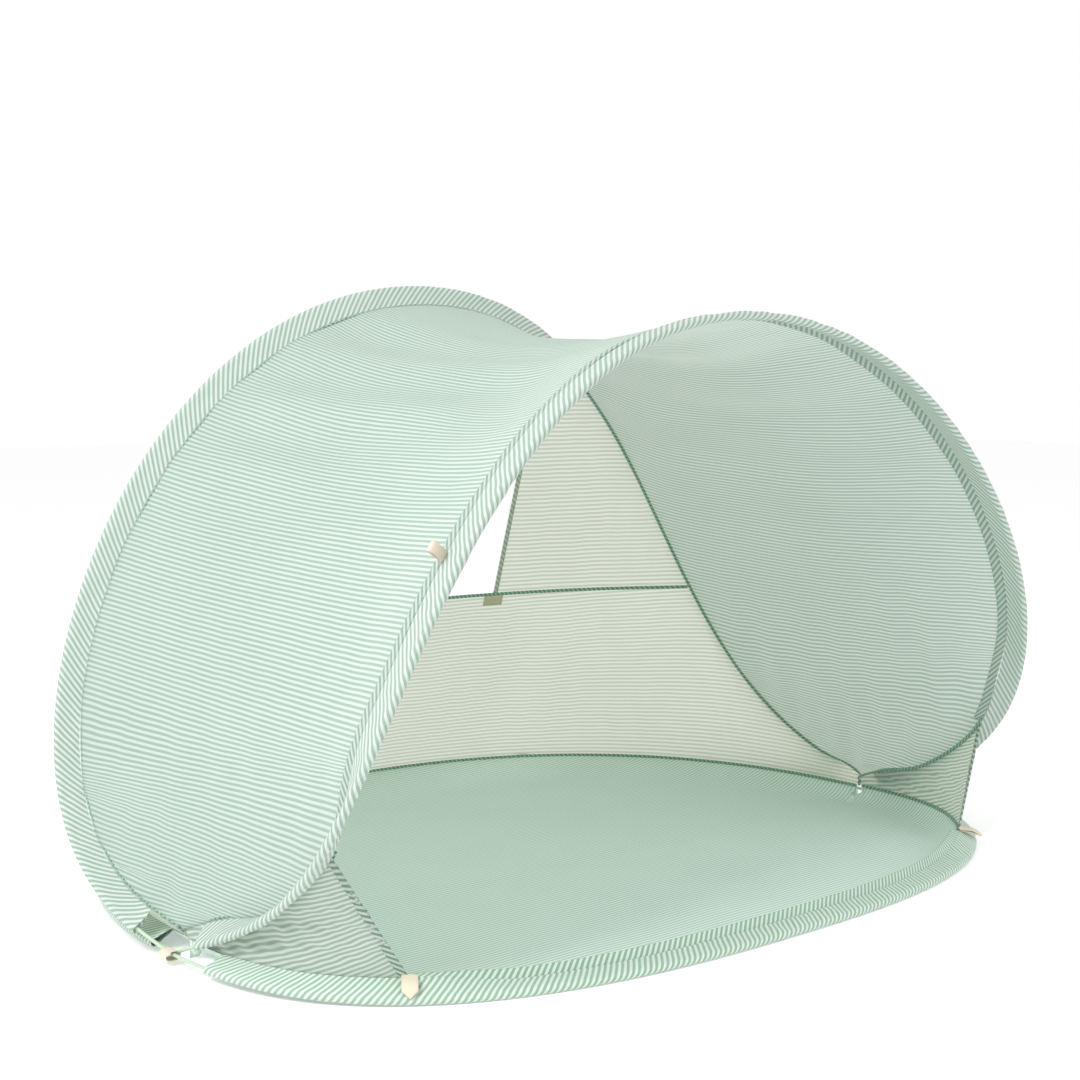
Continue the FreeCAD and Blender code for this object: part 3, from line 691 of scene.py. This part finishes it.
def wall_upper():
    """The wall above its cross seam, around the window."""
    high = WALL_TOP[:, 2] >= WALL_SEAM_Z
    reach = WALL_TOP[high, 0].max() - 0.001
    x = np.unique(np.r_[np.linspace(-reach, reach, 140), -WINDOW_HALF, WINDOW_HALF])
    top = upper_top(x)
    share_mid = (WINDOW_TOP - WALL_SEAM_Z) / (upper_top(WINDOW_HALF) - WALL_SEAM_Z)
    middle = np.where(np.abs(x) <= WINDOW_HALF, WINDOW_TOP, WALL_SEAM_Z + (top - WALL_SEAM_Z) * share_mid)
    low_rows, high_rows = 34, 26
    rise = np.linspace(0, 1, low_rows)[None, :]
    z = WALL_SEAM_Z + (middle - WALL_SEAM_Z)[:, None] * rise
    rise = np.linspace(0, 1, high_rows)[None, 1:]
    z = np.concatenate([z, middle[:, None] + (top - middle)[:, None] * rise], 1)
    xs = x[:, None] + 0 * z
    points, share = wall_at(xs, z)
    hold = smooth((top[:, None] - z) / 0.05) * smooth((z - WALL_SEAM_Z) / 0.04)
    near_window = 1 - bump_at(np.abs(xs), WINDOW_HALF, 0.03)
    points = points + wall_normal(points) * (wall_relief(points, 0.7) * hold * near_window)[..., None]
    keep = np.ones((len(x) - 1, z.shape[1] - 1), bool)
    inside = (np.abs((x[1:] + x[:-1]) / 2) < WINDOW_HALF)[:, None]
    keep[:, : low_rows - 1] &= ~inside
    uv = np.stack([xs, (z - WALL_SEAM_Z) * UPPER_STRIPES], -1)
    piece = sheet_grid("back_wall_upper_cloth", points, uv, cloth_wall, keep=keep)
    follow(piece)
    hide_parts("back_wall_left", "back_wall_right", "back_wall_top")
    return piece


upper_piece = wall_upper()


def wall_strip(name, x, z, across, width, thickness, inside, material):
    """A flat strip on the wall along the points x, z; across is its direction in x and z."""
    steps = np.linspace(-0.5, 0.5, 4)[None, :] * width
    points, share = wall_at(x[:, None] + steps * across[0], z[:, None] + steps * across[1])
    normals = unit(np.array([0.0, 1.0, 0.35]) + 0 * points)
    points = points - normals * inside
    run = np.r_[0, np.cumsum(np.hypot(np.diff(x), np.diff(z)))]
    uv = np.stack(np.broadcast_arrays(run[:, None], steps), -1)
    piece = band(name, points, normals, thickness, uv, material)
    follow(piece)
    return piece


def wall_trim():
    """The wall's cross seam, the hem round the window and a tab at each of its lower corners."""
    high = WALL_TOP[:, 2] >= WALL_SEAM_Z
    reach = WALL_TOP[high, 0].max() - 0.004
    x = np.linspace(-reach, reach, 220)
    z = 0 * x + WALL_SEAM_Z
    seam = wall_strip("back_wall_seam_tape", x, z, (0, 1), WALL_SEAM_TAPE, 0.0022, 0.0006, seam_tape)
    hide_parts("back_wall_seam")
    z = np.linspace(WALL_SEAM_Z + 0.002, WINDOW_TOP + HEM, 60)
    for name, side in (("left", -1), ("right", 1)):
        x = np.full(60, side * (WINDOW_HALF + HEM / 2 - 0.001))
        wall_strip("window_hem_" + name, x, z, (1, 0), HEM, HEM_THICK, 0.0004, window_hem)
    x = np.linspace(-WINDOW_HALF, WINDOW_HALF, 80)
    z = 0 * x + WINDOW_TOP + HEM / 2 - 0.001
    wall_strip("window_hem_top", x, z, (0, 1), HEM, HEM_THICK, 0.0004, window_hem)
    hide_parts("window_hem")
    for name, side in (("left", -1), ("right", 1)):
        x = side * WINDOW_HALF + np.linspace(-TAB, TAB, 12)
        z = 0 * x + WALL_SEAM_Z - 0.0105
        wall_strip("window_tab_" + name, x, z, (0, 1), TAB, 0.0022, 0.0018, ribbon_olive)


wall_trim()


# ---- seam tapes ---------------------------------------------------------------------------------

TAPE_WIDTH, TAPE_THICK = 0.0050, 0.0018


def seam_band(name, middle, wide_way, normal, body, node):
    """A flat dark tape along its middle line, wide along wide_way."""
    steps = np.linspace(-0.5, 0.5, 4)[None, :, None] * TAPE_WIDTH
    points = middle[:, None] + wide_way[:, None] * steps
    run = np.r_[0, np.cumsum(np.linalg.norm(np.diff(middle, axis=0), axis=1))]
    uv = np.stack(np.broadcast_arrays(run[:, None], steps[..., 0]), -1)
    piece = band(name, points, normal[:, None] + 0 * points, TAPE_THICK, uv, seam_tape)
    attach(piece, body)
    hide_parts(node)


def tape_marks(first, last):
    return np.linspace(first, last, max(60, int((last - first) / 0.005)))


def arch_tape(node, rail, first, last, body):
    """The dark tape inside the tent along an arch's seam."""
    marks = tape_marks(first, last)
    normal = front_side(marks) if rail is front else back_side(marks)
    middle = arch_seam(rail, marks / rail.length, 0.0028)
    seam_band(node + "_tape", middle, unit(np.cross(rail.along(marks), normal)), normal, body, node)


def floor_tape(node, rail, first, last, body):
    """The dark tape inside the tent along the foot of a wall."""
    marks = tape_marks(first, last)
    inward = rim_inward(rail, marks)
    up = np.array([0, 0, 1.0]) + 0 * inward
    seam_band(node + "_tape", rim_seam(rail, marks) + inward * 0.0022, up, inward, body, node)


ARCH_TAPE_START, FLOOR_TAPE_START = 0.008, 0.004
front_tape_end = FACING_START + 0.004

arch_tape("back_arch_seam", back, ARCH_TAPE_START, back.length - ARCH_TAPE_START, "back_arch")
arch_tape("front_arch_seam_left", front, ARCH_TAPE_START, front_tape_end, "front_arch")
arch_tape("front_arch_seam_right", front, front.length - front_tape_end, front.length - ARCH_TAPE_START,
          "front_arch")
floor_tape("floor_back_seam", rim_back, FLOOR_TAPE_START, rim_back.length - FLOOR_TAPE_START, "floor_rear")
floor_tape("floor_front_seam_left", rim_front, FLOOR_TAPE_START, GUSSET_RIM, "floor_front")
floor_tape("floor_front_seam_right", rim_front, rim_front.length - GUSSET_RIM,
           rim_front.length - FLOOR_TAPE_START, "floor_front")


def corner_tape(name, side):
    """The short upright tape beside a pivot where the back wall and a gusset meet."""
    share = 0.0008 if side < 0 else 0.9992
    foot = (rim_seam(rim_back, share * rim_back.length) + rim_seam(rim_front, share * rim_front.length)) / 2
    top = (arch_seam(back, share) + arch_seam(front, share)) / 2
    middle = foot + (top - foot) * np.linspace(0, 1, 8)[:, None] - [side * 0.0020, 0, 0]
    wide = np.array([0, 1.0, 0]) + 0 * middle
    seam_band(name + "_tape", middle, wide, np.array([-side * 1.0, 0, 0]) + 0 * middle, "floor_rear", name)


corner_tape("corner_seam_left", -1)
corner_tape("corner_seam_right", 1)

# ---- gussets ------------------------------------------------------------------------------------


def gusset_lines(share, side):
    """Where a gusset's straight lines meet the front arch's seam and the front rim's."""
    top = arch_seam(front, share * GUSSET_ARCH / front.length)
    foot = rim_seam(rim_front, share * GUSSET_RIM)
    return top * [-side, 1, 1], foot * [-side, 1, 1]


def gusset_hem(name, side):
    """The folded band along a gusset's free edge, from the front rim up to the front arch."""
    top, foot = gusset_lines(np.linspace(0.965, 1.0, 5), side)
    v = np.linspace(0.0, 1, 70)[:, None]
    strip = foot[None] + (top - foot)[None] * v[..., None]
    normal = np.cross(strip[-1, 0] - strip[0, 0], strip[0, -1] - strip[0, 0])
    width = np.linalg.norm(strip[:, -1:] - strip[:, :1], axis=-1) * np.linspace(0, 1, 5)[None, :]
    tall = np.linalg.norm(top[-1] - foot[-1])
    uv = np.stack([v * tall + 0 * width, width], -1)
    hem = band(name + "_band", strip, unit(normal) + 0 * strip, 0.0024, uv, bias_hem)
    follow(hem)
    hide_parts(name)
    return hem


def gusset(name, side):
    """A foot panel between the front arch and the front rim, with the hem along its free edge."""
    share, rows = np.linspace(0.004, 1.0, 130), 60
    top, foot = gusset_lines(share, side)
    v = np.linspace(0, 1, rows)[None, :]
    points = foot[:, None] + (top - foot)[:, None] * v[..., None]
    normals = normals_of(points)
    normals = normals * np.sign((normals * [side, 0, 0]).sum(-1, keepdims=True))
    tall = np.linalg.norm(top - foot, axis=1)[:, None]
    along = share[:, None] * GUSSET_RIM
    folds = 0.0022 * wave(along * 0.5, v * tall * 1.6, 0.035, 31) + 0.0012 * wave(along, v * tall, 0.05, 32)
    points = points + normals * (folds * np.sin(v * PI) ** 0.7)[..., None]
    pivot = np.array([side * SPAN, 0, PIVOT_Z])
    run = unit(points[-1, int(rows * 0.52)] - pivot)  # the stripes point at the free edge's middle
    rise = unit(np.cross(unit(np.cross(points[-1, 0] - pivot, points[-1, -1] - pivot)), run))
    uv = np.stack([(points - pivot) @ run, (points - pivot) @ rise], -1)
    piece = sheet_grid(name + "_cloth", points, uv, cloth_gusset)
    follow(piece)
    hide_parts(name)
    hem = gusset_hem(name.replace("gusset", "gusset_hem"), side)


gusset("gusset_left", -1)
gusset("gusset_right", 1)

# ---- ground sheet -------------------------------------------------------------------------------


SHEET_Z = 0.0012  # where the ground sheet lies flat
SLOPE_RUN = 0.065  # from the rim in to where the sheet is flat, beside the pivots
BACK_SLOPE_MORE, FRONT_SLOPE_LESS = 0.085, 0.015  # how that run changes away from the pivots
RIM_STAND = math.radians(55)  # how steeply the front rim's band stands along the open front
RIM_FACING_LOW, RIM_FACING_HIGH = -0.0005, 0.0135


def rim_facing_ways(marks):
    """From the front rim's seam up across its standing band, and square to the band."""
    inward = rim_inward(rim_front, marks)
    lean = (RIM_STAND * rim_drop(rim_front, marks))[:, None]
    upward = inward * np.cos(lean) + np.array([0, 0, 1.0]) * np.sin(lean)
    normal = np.array([0, 0, 1.0]) * np.cos(lean) - inward * np.sin(lean)
    return upward, normal


def ground(name, rail, node, body):
    """Half of the ground sheet: flat on the ground, rising to the rim."""
    marks = np.linspace(0.003, rail.length - 0.003, 300)
    edge = rim_seam(rail, marks)
    if rail is rim_front:
        reach = (RIM_FACING_HIGH - 0.001) * rim_drop(rail, marks)
        edge = edge + rim_facing_ways(marks)[0] * reach[:, None]
    inner = np.stack([np.linspace(edge[0, 0], edge[-1, 0], len(marks)), 0 * marks, 0 * marks], -1)
    depth = np.linalg.norm((edge - inner)[:, :2], axis=1)[:, None]
    t = np.linspace(0, 1, 100)[None, :] ** 1.5
    points = edge[:, None] + (inner - edge)[:, None] * t[..., None]
    away = t * depth
    change = BACK_SLOPE_MORE if rail is rim_back else -FRONT_SLOPE_LESS
    slope_run = SLOPE_RUN + change * smooth(np.abs(points[..., 1]) / 0.25)
    slope = np.clip(1 - away / slope_run, 0, 1) ** 2
    uneven = 0.0012 * (1 + wave(points[..., 0], points[..., 1], 0.22, 51)) * smooth(away / 0.05)
    height = SHEET_Z + (edge[:, 2:] - 0.0022) * slope + uneven * smooth(np.abs(points[..., 1]) / 0.05)
    points[..., 2] = np.where(depth < 0.02, edge[:, 2:] + (SHEET_Z - edge[:, 2:]) * t, height)
    piece = sheet_grid(name, points, points[..., :2].copy(), cloth_floor)
    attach(piece, body)
    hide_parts(node)
    return piece


def rim_facing():
    """The bias band standing up along the open front's rim."""
    marks = np.linspace(GUSSET_RIM + 0.004, rim_front.length - GUSSET_RIM - 0.004, 420)
    reach = np.linspace(RIM_FACING_LOW, RIM_FACING_HIGH, 5)
    upward, normal = rim_facing_ways(marks)
    points = rim_seam(rim_front, marks)[:, None] + upward[:, None] * reach[None, :, None]
    uv = np.stack(np.broadcast_arrays(marks[:, None], reach[None, :]), -1)
    piece = band("floor_front_facing_band", points, normal[:, None] + 0 * points, 0.0020, uv, bias_rim_inner)
    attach(piece, "floor_front")
    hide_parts("floor_front_facing")
    return piece


front_sheet = ground("ground_sheet_front_cloth", rim_front, "ground_sheet_front", "floor_front")
back_sheet = ground("ground_sheet_back_cloth", rim_back, "ground_sheet_back", "floor_rear")
rim_facing()

# ---- ribbons ------------------------------------------------------------------------------------


def loop_band(name, profile, side_way, width, thickness, material, taper=None):
    """A ribbon bent along profile points, width along side_way."""
    steps = np.linspace(-0.5, 0.5, 6)
    reach = np.ones(len(profile)) if taper is None else taper
    offsets = steps[None, :, None] * width * reach[:, None, None] * np.asarray(side_way)[None, None, :]
    points = profile[:, None] + offsets
    tangent = unit(np.gradient(profile, axis=0))
    normals = unit(np.cross(tangent, side_way))[:, None] + 0 * points
    run = np.r_[0, np.cumsum(np.linalg.norm(np.diff(profile, axis=0), axis=1))]
    uv = np.stack(np.broadcast_arrays(run[:, None], steps[None, :] * width), -1)
    return band(name, points, normals, thickness, uv, material)


def bent(points):
    """A smooth curve near a few corners, by cutting them four times."""
    points = np.array(points, float)
    for _ in range(4):
        mid_a = points[:-1] * 0.75 + points[1:] * 0.25
        mid_b = points[:-1] * 0.25 + points[1:] * 0.75
        points = np.vstack([points[:1], np.stack([mid_a, mid_b], 1).reshape(-1, 3), points[-1:]])
    return points


def pivot_ties():
    """The ribbon wrapped round both hoops where they cross."""
    for name, side in (("left", -1), ("right", 1)):
        low, high = (np.array(c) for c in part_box("pivot_tie_" + name))
        low[0], high[0] = (low[0], high[0] - 0.008) if side < 0 else (low[0] + 0.008, high[0])
        centre, half = (low + high) / 2, (high - low) / 2 - 0.001
        turn = np.linspace(0, 2 * PI, 49)
        x = centre[0] + half[0] * np.sign(np.cos(turn)) * np.abs(np.cos(turn)) ** 0.8
        z = centre[2] - 0.001 + half[2] * 0.72 * np.sign(np.sin(turn)) * np.abs(np.sin(turn)) ** 0.8
        profile = np.stack([x, 0 * x + centre[1], z], -1)
        piece = loop_band("pivot_tie_%s_ribbon" % name, profile, (0, 1, 0), 0.019, 0.0011, ribbon)
        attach(piece, "floor_rear")
        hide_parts("pivot_tie_" + name)


pivot_ties()


def joint_of(child):
    return next(j for j in frame["joints"] if j["child"] == child)


def peg_loop(name, body, rail, mark, curl):
    """A ribbon doubled into a loop with a pointed end, sewn in the rim's seam and lying over the sleeve."""
    seam, way, tangent = rim_seam(rail, mark), rim_way(rail, mark), rail.along(mark)
    out = unit(np.cross(way, tangent))
    out = out * np.sign(out[2])
    down = -way
    root = seam + out * 0.0035 + way * 0.002
    far = root + down * 0.020 + out * (0.004 + curl) + down * 0.012
    bulge = root + down * 0.016 + out * (0.0045 + curl * 0.5)
    upper = bent([root, root + down * 0.006 + out * 0.003, bulge + out * 0.003, far])
    lower = bent([far, bulge - out * 0.0005, root + down * 0.006, root])
    profile = np.vstack([upper, lower[1:]])
    run = np.r_[0, np.cumsum(np.linalg.norm(np.diff(profile, axis=0), axis=1))]
    tip = np.abs(run - run[len(upper) - 1])
    taper = np.clip(0.08 + tip / 0.009, 0, 1)
    piece = loop_band(name + "_ribbon", profile, tangent, 0.019, 0.0010, ribbon, taper)
    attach(piece, body)
    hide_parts(name)


peg_loop("peg_loop_front_left", "loop_front_left", rim_front, GUSSET_RIM, 0.0)
peg_loop("peg_loop_front_right", "loop_front_right", rim_front, rim_front.length - GUSSET_RIM, 0.010)
peg_loop("peg_loop_back_left", "loop_back_left", rim_back, 0.32 * rim_back.length, 0.0)
peg_loop("peg_loop_back_right", "loop_back_right", rim_back, 0.68 * rim_back.length, 0.0)


def closing_loop():
    """The blush ribbon loop at the front arch's seam, which holds the coiled tent closed."""
    joint = joint_of("closing_loop")
    root, tangent = np.array(joint["pos_m"]), np.array(joint["axis"])
    low, high = (np.array(c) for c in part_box("hang_loop"))
    out = unit((low + high) / 2 - root)
    up = unit(np.cross(tangent, out))
    over = [(0, 0.002), (0.006, 0.0035), (0.016, 0.004), (0.023, 0.002)]
    under = [(0.023, -0.002), (0.016, -0.003), (0.006, -0.0025), (0, -0.002)]
    profile = bent([root + out * a + up * b for a, b in over + under])
    piece = loop_band("closing_loop_ribbon", profile, tangent, 0.013, 0.0012, ribbon_pink)
    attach(piece, "closing_loop")
    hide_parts("hang_loop")


closing_loop()

# ---- rods and ferrules --------------------------------------------------------------------------

for node, piece in frame["nodes"].items():
    if node.endswith("_rod") or node.endswith("_ferrule"):
        piece.data.materials.clear()
        piece.data.materials.append(rod_coat if node.endswith("_rod") else steel)

# ---- floor, light and camera --------------------------------------------------------------------


def backdrop(tree):
    """A white backdrop behind the tent; the rest of the studio is a little dimmer."""
    place = tree.nodes.new("ShaderNodeTexCoord")
    facing = tree.nodes.new("ShaderNodeVectorMath")
    facing.operation = "DOT_PRODUCT"
    facing.inputs[1].default_value = (0.65, 0.76, 0.0)
    level = tree.nodes.new("ShaderNodeMapRange")
    for slot, value in (("From Min", 0.60), ("From Max", 0.88), ("To Min", 0.80), ("To Max", 1.0)):
        level.inputs[slot].default_value = value
    background = tree.nodes["Background"]
    background.inputs[0].default_value = (1, 1, 1, 1)
    tree.links.new(place.outputs["Generated"], facing.inputs[0])
    tree.links.new(facing.outputs["Value"], level.inputs["Value"])
    tree.links.new(level.outputs["Result"], background.inputs[1])


def studio():
    side, z = 14.0, -0.0005
    points = np.array([[-side, -side, z], [side, -side, z], [side, side, z], [-side, side, z]])
    n = Nodes("studio_floor")
    shader = n.add("ShaderNodeBsdfPrincipled", Roughness=0.9)
    shader.inputs["Base Color"].default_value = (0.92, 0.92, 0.92, 1)
    shader.inputs["Emission Color"].default_value = (1, 1, 1, 1)
    shader.inputs["Emission Strength"].default_value = 0.22
    out = n.add("ShaderNodeOutputMaterial")
    n.tree.links.new(shader.outputs[0], out.inputs[0])
    ground_plane = mesh_piece("studio_floor", points, np.array([[0, 1, 2, 3]]), points[:, :2], n.material)
    world = bpy.data.worlds.new("studio")
    bpy.context.scene.world = world
    world.use_nodes = True
    backdrop(world.node_tree)
    for name, place, aim, power, size in (
        ("key", (-2.4, -0.3, 2.4), (0, 0, 0.3), 66, 1.3),
        ("fill", (1.6, -2.6, 1.6), (0, 0, 0.3), 22, 2.5),
    ):
        light = bpy.data.lights.new(name, "AREA")
        light.energy, light.size = power, size
        lamp = bpy.data.objects.new(name, light)
        lamp.location = place
        lamp.rotation_euler = (Vector(aim) - Vector(place)).to_track_quat("-Z", "Y").to_euler()
        bpy.context.scene.collection.objects.link(lamp)


def direction(azimuth, elevation):
    a, e = math.radians(azimuth), math.radians(elevation)
    return Vector((math.sin(a) * math.cos(e), -math.cos(a) * math.cos(e), math.sin(e)))


def camera():
    data = bpy.data.cameras.new("camera")
    data.lens, data.sensor_width = 60.0, 36.0
    cam = bpy.data.objects.new("camera", data)
    cam.location = Vector((0, 0, 0.45 * SPAN)) + direction(-41.73, 9.30) * (3.934 * SPAN)
    cam.rotation_mode = "QUATERNION"
    cam.rotation_quaternion = (-direction(-40.50, 5.33)).to_track_quat("-Z", "Y")
    bpy.context.scene.collection.objects.link(cam)
    bpy.context.scene.camera = cam


studio()
camera()
bpy.context.scene.view_settings.view_transform = "Standard"
